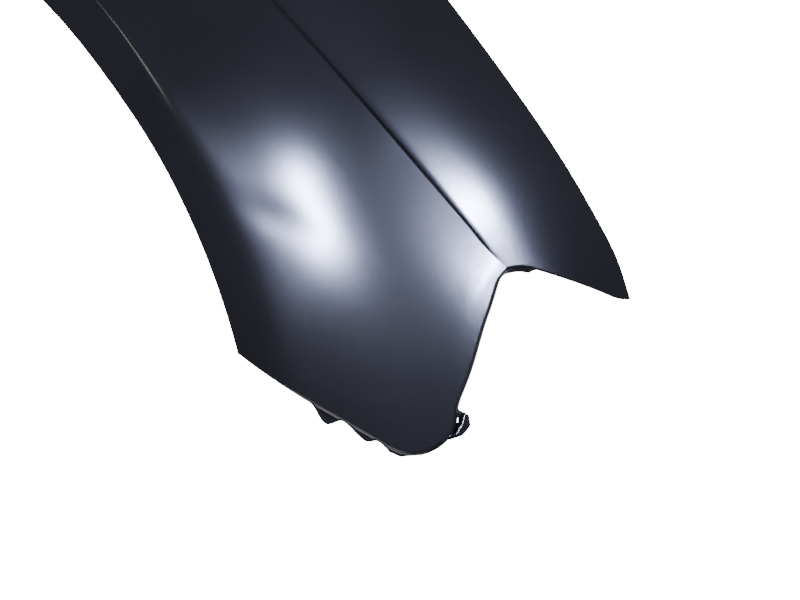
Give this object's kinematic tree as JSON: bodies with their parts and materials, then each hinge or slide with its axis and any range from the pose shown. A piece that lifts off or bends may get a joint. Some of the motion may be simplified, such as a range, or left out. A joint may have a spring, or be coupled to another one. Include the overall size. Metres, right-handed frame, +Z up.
{
  "type": "car front fender",
  "caption": "Right-hand front fender: a stamped steel skin with a round wheel arch, a stepped character line, a pointed lamp nose and turned-in bolting flanges.",
  "frame": {"origin": "underside of the second bolt pad from the front, on the ledge under the hood edge, 5.5 mm behind the pad's middle", "axes": "+X forward along the car, +Y inboard (to the left of the car), +Z up, as installed"},
  "size_m": [1.0277, 0.2233, 0.875],
  "materials": {
    "black_primer": "satin black baked primer over stamped steel sheet"
  },
  "bodies": {
    "root": {"fender_panel": "black_primer"}
  },
  "joints": []
}
